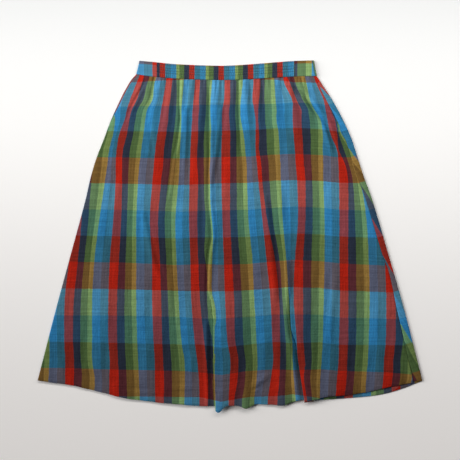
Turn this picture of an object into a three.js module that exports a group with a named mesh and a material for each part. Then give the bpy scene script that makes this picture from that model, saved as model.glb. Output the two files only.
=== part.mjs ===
// A gathered midi skirt of checked cotton, laid face up: the front panel lies on the back panel,
// and both hang from a waistband that is elastic over the middle of the front and plain elsewhere.
// Millimetres. X runs across, Y from the hem up to the waist, Z up from the surface it lies on.
// The origin is at the middle of the footprint, and "drop" is a distance down from the waist's top.
import * as THREE from "three";

// Driving sizes
const LENGTH = 780; // the waist's top edge to the lowest point of the hem
const CLOTH = 1.2; // wall of one layer of cloth
const HEM_CLOTH = 1.6; // wall where the hem is turned up and stitched
const SEAM_GAP = 0.3; // clear space left where two pieces are sewn together
const FRONT_LEVEL = 3.2; // middle of the front panel's wall where it lies smooth
const WRAP = 15; // how far the back panel comes round over the front at the right edge
const WRAP_AT_WAIST = 3;
const FAN = 0.00128; // how much the gathers spread, for each millimetre of drop
const GATHER_RISE = 28; // drop at which a gather is at its fullest
const GATHER_START = 0.42; // share of its height that a gather has where it is sewn in
const EDGE_CALM = 30; // the folds die out this far from the side edges
const FOLD_ENDS = [-0.15, 0.3, 0.7, 1.15]; // shares of a fold's run at which it rises and dies away
const PLEAT_TURN = 1.25; // radius of the cloth's middle where a pleat turns over
const PLEAT_ZONE = 22; // cloth on each side of a pleat's middle that takes part in it, at the hem
const PLEAT_SETTLE = 70; // width over which the cloth beside a pleat comes back down
const PLEAT_DRAG = 0.13; // share of the panel's width that a pleat pulls aside with it
const PLEAT_LEAD = 170; // drop above a pleat over which that pull builds up
const PLEAT_FORMED = 1; // turn, in radians, from which the cloth follows the pleat's path fully
const PLEAT_MARGIN = 1.15; // even columns stay this many half zones clear of a pleat's own ones

const BAND_BACK_TOP = 2.2; // upper face of the band that lies below
const BAND_TURN = 3.2; // width of the band's turned edge, at the right
const STEP_WIDTH = 0.05; // width of the step up to it
const BAND_PLAIN_TOP = 5.2; // upper face of the plain ends
const BAND_LEAN = 7; // how far the band's top corners lie inside the lower ones
const BAND_LEAN_REACH = 14;
const BAND_ELASTIC_TOP = 6.1; // upper face of the elastic casing
const CASING_LEFT = -162.2; // seams between the casing and the plain ends
const CASING_RIGHT = 142.2;
const PUCKER_PITCH = 8.5; // spacing of the puckers in the casing
const PUCKER_RISE = 0.35;
const STRIP_EDGE = 0.6; // height over which a plain strip's folded edges round off
const CASING_EDGE = 0.9; // the same for the casing
const STITCH_DEPTH = 0.6; // how far each row of stitches pulls the casing in
const COLUMNS_PER_PUCKER = 3;

const FRONT_COLUMNS = 70;
const BACK_COLUMNS = 18;
const HEM_STITCH = 0.961; // share of the length at which the 30 mm hem is stitched down
const HEM_STEP = 0.004; // half the share over which the wall thickens there
const SPOT_ROUNDS = 6; // rounds that settle a point's place between the edges
const DROP_SHARES = [0, 0.012, 0.03, 0.055, 0.09, 0.13, 0.18, 0.24, 0.31, 0.39, 0.48, 0.57, 0.65, 0.73, 0.8,
  0.87, 0.92, HEM_STITCH - HEM_STEP, HEM_STITCH + HEM_STEP, 1];

// Rows of a table as objects, so that each value is read by its column's name.
function table(columns, rows) {
  return rows.map((row) => Object.fromEntries(columns.map((column, i) => [column, row[i]])));
}

// The left and right edges of the skirt at each drop.
const SIDES = table(["drop", "left", "right"], [
  [31, -208, 190],
  [43, -219, 198],
  [66, -233, 213],
  [88, -244, 227],
  [132, -264, 251],
  [177, -281, 271],
  [221, -298, 285],
  [266, -311, 300],
  [310, -321, 316],
  [421, -351, 349],
  [554, -387, 387],
  [710, -427, 427],
]);

// Drops of the band's top edge and of the seam below it, across the waist.
const WAIST = table(["x", "top", "seam"], [
  [-208, 1, 31],
  [-173, 3.4, 36.2],
  [-120, 8.6, 40.6],
  [-33, 12, 43.8],
  [11, 11.2, 43.3],
  [96, 4.9, 39],
  [142, 1.4, 36],
  [193, 0, 35],
]);

// Drops of the two hems across the skirt. The back hem is the longer one at the right.
const HEM = table(["x", "front", "back"], [
  [-427, 710, 710],
  [-333, 725, 723],
  [-240, 748, 744],
  [-160, 759, 755],
  [-53, 767, 760],
  [53, 763, 758],
  [111, 763, 757],
  [200, 748.5, 753.5],
  [302, 737, 746],
  [342, 727, 740],
  [381, 720, 729],
  [427, 711, 711],
]);

// Gathers sewn in under the front band: place along the seam, reach down the panel, height, width.
const GATHERS = table(["x", "reach", "height", "width"], [
  [-191, 90, 2.6, 7],
  [-175, 120, 3.2, 8],
  [-155, 150, 4.0, 9],
  [-127, 210, 5.2, 11],
  [-104, 130, 4.2, 7],
  [-87, 170, 4.8, 8],
  [-60, 260, 6.0, 12],
  [-31, 300, 5.4, 11],
  [2, 220, 5.8, 13],
  [32, 180, 4.8, 9],
  [58, 140, 4.4, 9],
  [91, 240, 5.4, 12],
  [129, 200, 4.8, 10],
  [156, 160, 5.0, 10],
  [178, 120, 3.2, 8],
]);

// Long soft folds, from one end to the other.
const FOLDS = table(["x0", "drop0", "x1", "drop1", "height", "width"], [
  [150, 56, 245, 208, 3.6, 7],
  [68, 326, 135, 505, 2.4, 13],
  [-178, 348, -118, 577, 2.0, 15],
  [104, 266, 111, 354, 1.8, 10],
  [62, 712, 96, 703, 2.2, 7],
  [-311, 660, -262, 703, 1.6, 11],
]);

// Flutes in the front hem: how far each dips below the hem's line, its half width, its height and
// how far up it reaches. Each x is where the cloth would lie if no pleat had moved it.
const FLUTES = table(["x", "dip", "spread", "height", "reach"], [
  [-240, 0, 20, 1.4, 140],
  [-107, 0, 18, 1.5, 120],
  [-10, 14, 9, 1.0, 60],
  [27, 6, 14, 3.2, 130],
  [111, 3, 20, 2.4, 110],
  [184, 9, 12, 1.0, 60],
  [250, 0, 20, 1.4, 120],
]);

// Pleats that form by themselves in the lower half, where cloth from the right laps over the left.
// Each row gives the visible edge, how far the cloth has turned over (degrees) and how far it laps.
const PLEAT_COLUMNS = ["drop", "edge", "turn", "lap"];
const PLEATS = [
  table(PLEAT_COLUMNS, [
    [440, -43, 0, 0],
    [532, -37, 70, 0.5],
    [599, -34, 145, 4],
    [666, -34, 180, 11],
    [770, -29, 180, 18],
  ]),
  table(PLEAT_COLUMNS, [
    [420, 116, 0, 0],
    [503, 129, 60, 0.5],
    [572, 133, 145, 4],
    [621, 140, 180, 9],
    [670, 150, 180, 14],
    [756, 164, 180, 19],
  ]),
];
// A pleat's path is taken in five stages, ending at these steps: out, over, back, over again, and on.
const STAGE = 0.2;
const PLEAT_STEPS = [0, 0.1, 0.2, 0.25, 0.3, 0.35, 0.4, 0.5, 0.6, 0.65, 0.7, 0.75, 0.8, 0.9, 1];

const { clamp, lerp, smoothstep, degToRad } = THREE.MathUtils;

// One column of a table at a place between its rows, on a smooth curve through them.
function read(rows, key, at, column) {
  const last = rows.length - 1;
  const place = clamp(at, rows[0][key], rows[last][key]);
  let i = 0;
  while (i < last - 1 && rows[i + 1][key] < place) i += 1;
  const slope = (a, b) => (rows[b][column] - rows[a][column]) / (rows[b][key] - rows[a][key]);
  const span = rows[i + 1][key] - rows[i][key];
  const into = (place - rows[i][key]) / span;
  const startSlope = slope(Math.max(i - 1, 0), i + 1) * span;
  const endSlope = slope(i, Math.min(i + 2, last)) * span;
  const rise = rows[i + 1][column] - rows[i][column];
  const bend = into * (1 - into);
  const blend = into * into * (3 - 2 * into);
  return rows[i][column] + rise * blend + bend * ((1 - into) * startSlope - into * endSlope);
}

const bell = (distance, width) => Math.exp(-((distance / width) ** 2));
const yAt = (drop) => LENGTH / 2 - drop;
const leftEdge = (drop) => read(SIDES, "drop", drop, "left");
const rightEdge = (drop) => read(SIDES, "drop", drop, "right");
const wrapAt = (drop) => lerp(WRAP_AT_WAIST, WRAP, smoothstep(drop, SIDES[0].drop, SIDES[4].drop));
const sideSeam = (drop) => rightEdge(drop) - wrapAt(drop);
const waistSeam = (x) => read(WAIST, "x", x, "seam") + SEAM_GAP;
const hemTurned = (down) => smoothstep(down, HEM_STITCH - HEM_STEP, HEM_STITCH + HEM_STEP);
const clothAt = (down) => lerp(CLOTH, HEM_CLOTH, hemTurned(down));

function frontHem(x) {
  const dips = FLUTES.map((flute) => flute.dip * bell(x - flute.x, flute.spread));
  return dips.reduce((sum, dip) => sum + dip, read(HEM, "x", x, "front"));
}

// Where the point at a share of the width and a share of the length lies, seen from above.
function spot(across, down, hem, left, right) {
  let x = 0;
  let drop = LENGTH / 2;
  for (let round = 0; round < SPOT_ROUNDS; round += 1) {
    drop = lerp(waistSeam(x), hem(x), down);
    x = lerp(left(drop), right(drop), across);
  }
  return { x, drop };
}

// The share of the panel's width at which each pleat's middle lies, taken at the hem.
const PLEAT_PLACES = PLEATS.map((rows) => {
  const end = rows[rows.length - 1];
  const middle = end.edge + PLEAT_TURN + end.lap / 2;
  return (middle - leftEdge(end.drop)) / (sideSeam(end.drop) - leftEdge(end.drop));
});

// The path of the cloth through a pleat: out to the right, over, back to the left, over, and on.
// It starts and ends on the ground line, and step runs from 0 to 1 along it.
function pleatPath(step, turn, lap, zone) {
  const over = PLEAT_TURN * Math.sin(turn);
  const climb = PLEAT_TURN * (1 - Math.cos(turn));
  const width = 2 * over + lap * Math.cos(turn);
  const height = 2 * climb + lap * Math.sin(turn);
  if (step <= STAGE) return { x: lerp(-zone, -width / 2, step / STAGE), z: 0 };
  if (step <= 2 * STAGE) {
    const angle = turn * (step / STAGE - 1);
    return { x: -width / 2 + PLEAT_TURN * Math.sin(angle), z: PLEAT_TURN * (1 - Math.cos(angle)) };
  }
  if (step < 3 * STAGE) {
    const reach = lap * (step / STAGE - 2);
    return { x: -width / 2 + over + reach * Math.cos(turn), z: climb + reach * Math.sin(turn) };
  }
  if (step <= 4 * STAGE) {
    const angle = turn * (4 - step / STAGE);
    return { x: width / 2 - PLEAT_TURN * Math.sin(angle), z: height - PLEAT_TURN * (1 - Math.cos(angle)) };
  }
  return { x: lerp(width / 2, zone, step / STAGE - 4), z: height };
}

// How the pleats move a point of the front panel sideways and up.
function pleatShift(across, spotHere, width) {
  const shift = { x: 0, z: 0 };
  PLEATS.forEach((rows, i) => {
    const place = PLEAT_PLACES[i];
    const value = (column) => read(rows, "drop", spotHere.drop, column);
    const turn = degToRad(clamp(value("turn"), 0, 180));
    const lap = Math.max(value("lap"), 0);
    const zone = (PLEAT_ZONE * width) / (HEM[HEM.length - 1].x - HEM[0].x);
    const formed = smoothstep(turn, 0, PLEAT_FORMED);
    const reached = smoothstep(spotHere.drop, rows[0].drop - PLEAT_LEAD, rows[0].drop);
    const middle = leftEdge(spotHere.drop) + place * width;
    const drag = (value("edge") + PLEAT_TURN + lap / 2 - middle) * reached;
    const share = (across - place) * width;
    const away = Math.min(Math.abs(across - place) / PLEAT_DRAG, 1);
    shift.x += drag * (0.5 + 0.5 * Math.cos(Math.PI * away));
    const step = share / (2 * zone) + 0.5;
    const path = pleatPath(clamp(step, 0, 1), turn, lap, zone);
    const settle = 1 - smoothstep(share - zone, 0, PLEAT_SETTLE);
    if (step > 0 && step < 1) shift.x += (path.x - share) * formed;
    if (step > 0) shift.z += path.z * formed * settle;
  });
  return shift;
}

// Height of the front panel's gathers, folds and flutes above its resting level.
function drapeHeight(x, drop) {
  const below = drop - waistSeam(x);
  let height = 0;
  for (const gather of GATHERS) {
    const line = gather.x * (1 + FAN * below);
    const full = lerp(GATHER_START, 1, smoothstep(below, 0, GATHER_RISE));
    const fade = 1 - smoothstep(below, GATHER_RISE, gather.reach);
    height += gather.height * full * fade * bell(x - line, gather.width);
  }
  for (const fold of FOLDS) {
    const run = new THREE.Vector2(fold.x1 - fold.x0, fold.drop1 - fold.drop0);
    const from = new THREE.Vector2(x - fold.x0, drop - fold.drop0);
    const along = from.dot(run) / run.lengthSq();
    const aside = from.cross(run) / run.length();
    const risen = smoothstep(along, FOLD_ENDS[0], FOLD_ENDS[1]);
    const dying = smoothstep(along, FOLD_ENDS[2], FOLD_ENDS[3]);
    height += fold.height * risen * (1 - dying) * bell(aside, fold.width);
  }
  for (const flute of FLUTES) {
    const rise = frontHem(x) - drop;
    height += flute.height * (1 - smoothstep(rise, 0, flute.reach)) * bell(x - flute.x, flute.spread);
  }
  return height;
}

// The middle of the front panel's wall. Its left edge curls down to the back panel.
function frontPoint({ across, curl }, down) {
  const foot = clothAt(down) + 1.5 * SEAM_GAP;
  const radius = FRONT_LEVEL - foot;
  const inset = CLOTH / 2 + radius * (1 - Math.cos(curl));
  const inner = (drop) => leftEdge(drop) + inset;
  const seam = (drop) => sideSeam(drop) - SEAM_GAP / 2;
  const here = spot(across, down, frontHem, inner, seam);
  const shift = pleatShift(across, here, sideSeam(here.drop) - leftEdge(here.drop));
  const toEdge = Math.min(here.x - leftEdge(here.drop), sideSeam(here.drop) - here.x);
  const drape = drapeHeight(here.x, here.drop) * smoothstep(toEdge, 0, EDGE_CALM);
  const height = foot + radius * Math.sin(curl) + drape + shift.z;
  return new THREE.Vector3(here.x + shift.x, yAt(here.drop), height);
}

// Columns of the front panel: the curl at the left edge, then even ones, closer through each pleat.
function frontColumns() {
  const curls = [0, 30, 60, 90].map((angle) => ({ across: 0, curl: degToRad(angle) }));
  const half = PLEAT_ZONE / (HEM[HEM.length - 1].x - HEM[0].x);
  const evenly = Array.from({ length: FRONT_COLUMNS }, (_, i) => (i + 1) / FRONT_COLUMNS);
  const isClear = (across) => PLEAT_PLACES.every((place) => Math.abs(across - place) > half * PLEAT_MARGIN);
  const clear = evenly.filter(isClear);
  const close = PLEAT_PLACES.flatMap((place) => PLEAT_STEPS.map((step) => place + half * (2 * step - 1)));
  const sorted = [...clear, ...close].sort((a, b) => a - b);
  return [...curls, ...sorted.map((across) => ({ across, curl: Math.PI / 2 }))];
}

// Columns of the back panel: flat below, round the right edge, and over the front to the side seam.
function backColumns() {
  const shares = Array.from({ length: BACK_COLUMNS + 1 }, (_, i) => i / BACK_COLUMNS);
  const flat = shares.map((share) => ({ flat: share, turn: 0, over: 0 }));
  const turned = [30, 60, 90, 120, 150, 180].map((angle) => ({ flat: 1, turn: degToRad(angle), over: 0 }));
  const strip = [0.5, 1].map((over) => ({ flat: 1, turn: Math.PI, over }));
  return [...flat, ...turned, ...strip];
}

// The middle of the back panel's wall.
function backPoint({ flat, turn, over }, down) {
  const half = clothAt(down) / 2;
  const radius = (FRONT_LEVEL - half) / 2;
  const bendLine = (drop) => rightEdge(drop) - half - radius;
  const hem = (x) => read(HEM, "x", x, "back");
  const { x, drop } = spot(flat, down, hem, leftEdge, bendLine);
  const strip = Math.max(wrapAt(drop) - half - radius - SEAM_GAP / 2, 1);
  const placed = x + radius * Math.sin(turn) - strip * over;
  return new THREE.Vector3(placed, yAt(drop), half + radius * (1 - Math.cos(turn)));
}

function meshOf(name, points, triangles, material) {
  const geometry = new THREE.BufferGeometry();
  geometry.setAttribute("position", new THREE.Float32BufferAttribute(points.flatMap((p) => p.toArray()), 3));
  geometry.setIndex(triangles.flat());
  geometry.computeVertexNormals();
  const mesh = new THREE.Mesh(geometry, material);
  mesh.name = name;
  return mesh;
}

// A wall of cloth: a sheet of middle points, given its thickness along its own normals.
function wall(name, columns, downs, middle, material) {
  const wide = columns.length;
  const deep = downs.length;
  const sheet = downs.flatMap((down) => columns.map((column) => middle(column, down)));
  const at = (i, j) => sheet[clamp(j, 0, deep - 1) * wide + clamp(i, 0, wide - 1)];
  const faces = [1, -1].flatMap((side) =>
    downs.flatMap((down, j) =>
      columns.map((_, i) => {
        const along = at(i + 1, j).clone().sub(at(i - 1, j));
        const upward = at(i, j - 1).clone().sub(at(i, j + 1));
        const normal = along.cross(upward);
        if (j === 0) normal.y = 0; // the waist edge is cut square, so it stays clear of the band
        normal.normalize();
        return at(i, j).clone().addScaledVector(normal, (side * clothAt(down)) / 2);
      }),
    ),
  );
  const upper = (i, j) => j * wide + i;
  const lower = (i, j) => wide * deep + upper(i, j);
  const triangles = [];
  const quad = (a, b, c, d) => triangles.push([a, b, c], [a, c, d]);
  for (let j = 0; j < deep - 1; j += 1) {
    for (let i = 0; i < wide - 1; i += 1) {
      quad(upper(i, j), upper(i, j + 1), upper(i + 1, j + 1), upper(i + 1, j));
      quad(lower(i, j), lower(i + 1, j), lower(i + 1, j + 1), lower(i, j + 1));
    }
    quad(upper(0, j), lower(0, j), lower(0, j + 1), upper(0, j + 1));
    quad(upper(wide - 1, j), upper(wide - 1, j + 1), lower(wide - 1, j + 1), lower(wide - 1, j));
  }
  for (let i = 0; i < wide - 1; i += 1) {
    quad(upper(i, 0), upper(i + 1, 0), lower(i + 1, 0), lower(i, 0));
    quad(upper(i, deep - 1), lower(i, deep - 1), lower(i + 1, deep - 1), upper(i + 1, deep - 1));
  }
  return meshOf(name, faces, triangles, material);
}

// A length of waistband: a closed section carried along the waist's curve.
// The section's points give a share of the band's width, from the seam up, and a height.
function band(name, xs, sectionAt, material) {
  const points = [];
  const ends = { left: WAIST[0].x, right: WAIST[WAIST.length - 1].x };
  for (const x of xs) {
    const lean = BAND_LEAN * (bell(x - ends.left, BAND_LEAN_REACH) - bell(x - ends.right, BAND_LEAN_REACH));
    for (const { share, z } of sectionAt(x)) {
      const drop = lerp(read(WAIST, "x", x, "seam"), read(WAIST, "x", x, "top"), share);
      points.push(new THREE.Vector3(x + lean * share, yAt(drop), z));
    }
  }
  const around = points.length / xs.length;
  const triangles = [];
  for (let i = 0; i < xs.length - 1; i += 1) {
    for (let k = 0; k < around; k += 1) {
      const next = (k + 1) % around;
      const here = i * around;
      const there = here + around;
      triangles.push([here + k, here + next, there + next], [here + k, there + next, there + k]);
    }
  }
  const last = (xs.length - 1) * around;
  for (let k = 1; k < around - 1; k += 1) {
    triangles.push([0, k + 1, k], [last, last + k, last + k + 1]);
  }
  return meshOf(name, points, triangles, material);
}

// A folded strip with soft edges, between two heights.
function plainSection(bottom, top) {
  const edge = Math.min(STRIP_EDGE, (top - bottom) / 3);
  return [
    { share: 0.03, z: bottom },
    { share: 0.97, z: bottom },
    { share: 1, z: bottom + edge },
    { share: 1, z: top - edge },
    { share: 0.96, z: top },
    { share: 0.04, z: top },
    { share: 0, z: top - edge },
    { share: 0, z: bottom + edge },
  ];
}

// The elastic casing is pressed in along two rows of stitches, and puckers between them.
function casingSection(x) {
  const bottom = BAND_BACK_TOP + SEAM_GAP;
  const swell = PUCKER_RISE * Math.cos((2 * Math.PI * x) / PUCKER_PITCH);
  const top = BAND_ELASTIC_TOP;
  return [
    { share: 0.03, z: bottom },
    { share: 0.97, z: bottom },
    { share: 1, z: bottom + CASING_EDGE },
    { share: 1, z: top - CASING_EDGE },
    { share: 0.92, z: top - STITCH_DEPTH / 2 + swell },
    { share: 0.8, z: top + swell },
    { share: 0.66, z: top - STITCH_DEPTH },
    { share: 0.5, z: top + swell },
    { share: 0.34, z: top - STITCH_DEPTH },
    { share: 0.2, z: top + swell },
    { share: 0.08, z: top - STITCH_DEPTH / 2 + swell },
    { share: 0, z: top - CASING_EDGE },
    { share: 0, z: bottom + CASING_EDGE },
  ];
}

const evenSteps = (from, to, count) => Array.from({ length: count + 1 }, (_, i) => lerp(from, to, i / count));

const left = WAIST[0].x;
const right = WAIST[WAIST.length - 1].x;
const turnStart = right - BAND_TURN;
const plainTop = plainSection(BAND_BACK_TOP + SEAM_GAP, BAND_PLAIN_TOP);
const casingSteps = COLUMNS_PER_PUCKER * Math.round((CASING_RIGHT - CASING_LEFT) / PUCKER_PITCH);

// The band below has its edge turned up at the right, level with the plain end.
function backBandSection(x) {
  return plainSection(0, x > turnStart ? BAND_PLAIN_TOP : BAND_BACK_TOP);
}

function cloth(colour) {
  return new THREE.MeshStandardMaterial({ color: colour, roughness: 0.9, metalness: 0 });
}

const skirt = new THREE.Group();
skirt.name = "midi_skirt";
skirt.add(
  wall("front_panel", frontColumns(), DROP_SHARES, frontPoint, cloth(0x4a6f7c)),
  wall("back_panel", backColumns(), DROP_SHARES, backPoint, cloth(0x3f6070)),
  band("waistband_elastic", evenSteps(CASING_LEFT + SEAM_GAP / 2, CASING_RIGHT - SEAM_GAP / 2, casingSteps),
    casingSection, cloth(0x2f5f86)),
  band("waistband_end_left", evenSteps(left, CASING_LEFT - SEAM_GAP / 2, 6), () => plainTop, cloth(0x4f94b8)),
  band("waistband_end_right", evenSteps(CASING_RIGHT + SEAM_GAP / 2, turnStart - SEAM_GAP, 6),
    () => plainTop, cloth(0x5f8a5a)),
  band("waistband_back", [...evenSteps(left, turnStart, 14), turnStart + STEP_WIDTH, right], backBandSection,
    cloth(0x3c5a50)),
);

export default skirt;
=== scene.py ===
import math

import bmesh
import bpy
import numpy as np
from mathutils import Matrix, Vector


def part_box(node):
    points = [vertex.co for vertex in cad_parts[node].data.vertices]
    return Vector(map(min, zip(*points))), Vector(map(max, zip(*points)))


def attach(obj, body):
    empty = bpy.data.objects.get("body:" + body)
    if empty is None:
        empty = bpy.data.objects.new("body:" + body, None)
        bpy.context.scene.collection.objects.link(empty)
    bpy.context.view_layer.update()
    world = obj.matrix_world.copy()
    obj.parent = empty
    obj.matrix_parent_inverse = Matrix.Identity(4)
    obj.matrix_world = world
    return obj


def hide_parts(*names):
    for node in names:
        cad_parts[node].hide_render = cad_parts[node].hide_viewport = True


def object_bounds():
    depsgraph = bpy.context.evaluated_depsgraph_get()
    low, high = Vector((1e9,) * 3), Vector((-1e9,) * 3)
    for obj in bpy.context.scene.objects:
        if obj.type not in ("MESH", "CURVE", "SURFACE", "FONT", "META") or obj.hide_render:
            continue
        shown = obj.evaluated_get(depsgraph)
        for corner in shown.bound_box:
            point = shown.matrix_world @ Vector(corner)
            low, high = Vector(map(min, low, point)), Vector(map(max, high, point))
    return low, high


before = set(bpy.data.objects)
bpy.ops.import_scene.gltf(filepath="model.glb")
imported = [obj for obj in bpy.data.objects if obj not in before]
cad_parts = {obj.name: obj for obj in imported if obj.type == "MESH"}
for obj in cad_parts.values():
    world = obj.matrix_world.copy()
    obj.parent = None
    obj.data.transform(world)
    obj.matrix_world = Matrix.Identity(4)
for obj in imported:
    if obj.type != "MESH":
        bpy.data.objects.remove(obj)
cad_low, cad_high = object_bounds()

# --------------------
# The view
# The skirt lies face up on a pale floor, seen from straight above. A strip light stands beyond
# the waist, and a soft light comes in low from the left, so the folds show.

CAMERA_HEIGHT = 3.2
SENSOR_WIDTH = 36.0
VIEW_WIDTH = 1.0222  # width of floor that the view takes in
VIEW_CENTRE = (0.0, 0.0133)

camera = bpy.data.objects.new("camera", bpy.data.cameras.new("camera"))
bpy.context.collection.objects.link(camera)
camera.location = (*VIEW_CENTRE, CAMERA_HEIGHT)
camera.data.sensor_width = SENSOR_WIDTH
camera.data.lens = SENSOR_WIDTH * CAMERA_HEIGHT / VIEW_WIDTH
camera.data.clip_end = 20
bpy.context.scene.camera = camera
bpy.context.scene.view_settings.view_transform = "Standard"


def add_node(tree, kind, links=(), **settings):
    """A shader node. Links gives its inputs, as values or as other nodes' outputs."""
    made = tree.nodes.new("ShaderNode" + kind)
    for name, value in settings.items():
        setattr(made, name, value)
    for socket, source in dict(links).items():
        if isinstance(source, bpy.types.NodeSocket):
            tree.links.new(source, made.inputs[socket])
        else:
            made.inputs[socket].default_value = source
    return made


def to_object(name, work):
    """Turns finished mesh work into an object of the scene."""
    mesh = bpy.data.meshes.new(name)
    work.to_mesh(mesh)
    work.free()
    made = bpy.data.objects.new(name, mesh)
    bpy.context.collection.objects.link(made)
    return made


def new_material(name, look):
    """A material, its node tree and its shader, which takes the values of the look."""
    material = bpy.data.materials.new(name)
    material.use_nodes = True
    tree = material.node_tree
    shader = tree.nodes["Principled BSDF"]
    for socket, value in look.items():
        shader.inputs[socket].default_value = value
    return material, tree, shader


STRIP_PLACE = Vector((-0.05, 0.49, 0.61))
STRIP_AIM = Vector((-0.05, 0.22, 0))
STRIP_SIZE = (3.2, 0.3)
STRIP_POWER = 12.7
WINDOW_DIRECTION = Vector((1.0, -0.2, -0.42))
WINDOW_POWER = 3.2
WINDOW_SPREAD = 38
WORLD_POWER = 0.05

strip = bpy.data.lights.new("strip light", "AREA")
strip.shape = "RECTANGLE"
strip.size, strip.size_y = STRIP_SIZE
strip.energy = STRIP_POWER
strip.color = (1.0, 0.99, 0.97)
strip_stand = bpy.data.objects.new("strip light", strip)
bpy.context.collection.objects.link(strip_stand)
strip_stand.location = STRIP_PLACE
strip_stand.rotation_euler = (STRIP_AIM - STRIP_PLACE).to_track_quat("-Z", "Y").to_euler()

window = bpy.data.objects.new("window light", bpy.data.lights.new("window light", "SUN"))
bpy.context.collection.objects.link(window)
window.rotation_euler = WINDOW_DIRECTION.to_track_quat("-Z", "Y").to_euler()
window.data.energy = WINDOW_POWER
window.data.angle = math.radians(WINDOW_SPREAD)

world = bpy.data.worlds.new("studio")
world.use_nodes = True
world.node_tree.nodes["Background"].inputs["Color"].default_value = (0.95, 0.96, 1.0, 1)
world.node_tree.nodes["Background"].inputs["Strength"].default_value = WORLD_POWER
bpy.context.scene.world = world

FLOOR_DROP = 0.0003
FLOOR_SIZE = 6.0
FLOOR_FADE = (-0.5, 0.5)  # y of the two lines between which the floor's tone changes
# The floor's tone is painted light, not its own colour: lighter and warmer by the hem, darker by the waist,
# to even out the strip light's falloff and tint the shade warm.
FLOOR_BY_HEM = (1.0, 0.965, 0.94, 1)
FLOOR_BY_WAIST = (0.7, 0.705, 0.705, 1)

board = bmesh.new()
bmesh.ops.create_grid(board, x_segments=1, y_segments=1, size=FLOOR_SIZE / 2)
bmesh.ops.translate(board, verts=board.verts, vec=(0, 0, -FLOOR_DROP))
floor = to_object("floor", board)

floor_paint, floor_tree, floor_shader = new_material(
    "pale floor", {"Roughness": 0.75, "Specular IOR Level": 0.2})
floor_place = add_node(floor_tree, "TexCoord")
floor_axes = add_node(floor_tree, "SeparateXYZ", {"Vector": floor_place.outputs["Object"]})
floor_share = add_node(floor_tree, "MapRange", {
    "Value": floor_axes.outputs["Y"], "From Min": FLOOR_FADE[0], "From Max": FLOOR_FADE[1]})
# Painted light: the floor's tone runs from the hem colour to the waist colour along y.
floor_painted_light = add_node(floor_tree, "ValToRGB", {"Fac": floor_share.outputs[0]})
floor_painted_light.color_ramp.elements[0].color = FLOOR_BY_HEM
floor_painted_light.color_ramp.elements[1].color = FLOOR_BY_WAIST
floor_tree.links.new(floor_painted_light.outputs["Color"], floor_shader.inputs["Base Color"])
floor.data.materials.append(floor_paint)

# --------------------
# Front panel
# A flared panel of madras check cotton, gathered into the waistband, with a 30 mm hem turned up
# inside. It lies on the back panel; two soft pleats form by themselves in its lower half.

# Sizes are in millimetres. A drop is measured down from the waist's top edge.
MM = 0.001
WAIST_TOP = cad_high.y / MM
THICKNESS = 0.45
FRONT_REST = 2.6  # height of the front panel's middle where it lies smooth
BACK_REST = 0.3
EDGE_FOOT = 1.3  # height at which the front panel's left edge meets the back panel's
SEAM_CLEAR = 0.3
LOWEST_DIP = -1.6  # a valley stops here, clear of the back panel
HEM_LIFT = 1.2  # how much higher it stops at the hem, where both panels are double
HEM_RISE = 0.9  # how much higher the front's hem lies, on the back's double hem
CORNER_RISE = 0.7  # more of that at the left corner, where the back's edge curls up
CORNER_REACH = 8  # distance from the left edge over which that is full
SEAM_DIP = 0.5  # dip of both panels into the side seam
SEAM_DIP_REACH = 3
PEEK = 3.3  # width of back panel that shows beyond the left edge, below the waist
PEEK_ENDS = (96, 155)  # drops between which it runs out
EDGE_CALM = 30  # width at the side edges over which the relief fades out

# drop, left edge, right edge
SIDES = [
    (31, -208, 190), (43, -219, 198), (66, -233, 213), (88, -244, 227), (132, -264, 251),
    (177, -281, 271), (221, -298, 285), (266, -311, 300), (310, -321, 316), (421, -351, 349),
    (554, -387, 387), (710, -427, 427),
]
# The back panel, come round over the front at the right edge: drop, width that shows
WRAPS = [
    (31, 4), (81, 12.5), (120, 14), (310, 14), (428, 13.5), (465, 10.5), (503, 12.2), (534, 14.7),
    (565, 16.4), (710, 20),
]
# x, drop of the band's top edge, drop of the seam below it
WAIST = [
    (-208, 1, 31), (-173, 3.4, 36.2), (-120, 8.6, 40.6), (-33, 12, 43.8), (11, 11.2, 43.3), (96, 4.9, 39),
    (142, 1.4, 36), (193, 0, 35),
]
# x, drop of the front hem, drop of the back hem
HEMS = [
    (-427, 710, 710), (-333, 725, 723), (-240, 748, 744), (-160, 759, 755), (-53, 767, 760), (53, 763, 758),
    (111, 763, 757), (155, 754, 752), (200, 748.5, 753.5), (302, 737, 746), (342, 727, 740),
    (381, 720, 729), (427, 711, 711),
]
# Gathers under the band: place along the seam, reach down the panel, height, width
GATHERS = [
    (-191, 90, 2.6, 7), (-175, 120, 3.2, 8), (-155, 150, 4, 9), (-127, 210, 5.2, 11), (-104, 130, 4.2, 7),
    (-87, 170, 4.8, 8), (-60, 260, 6, 12), (-31, 300, 5.4, 11), (2, 220, 5.8, 13), (32, 180, 4.8, 9),
    (58, 140, 4.4, 9), (91, 240, 5.4, 12), (129, 200, 4.8, 10), (156, 160, 5, 10), (178, 120, 3.2, 8),
]
GATHER_FULL = 28  # drop below the seam at which a gather is at its fullest
GATHER_START = 0.3
FINE_HEIGHT = 0.8  # the small gathers right under the band
FINE_PITCH = 9.3
FINE_REACH = 26
FAN = 0.00128  # spread of the gathers for each millimetre of drop
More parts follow.
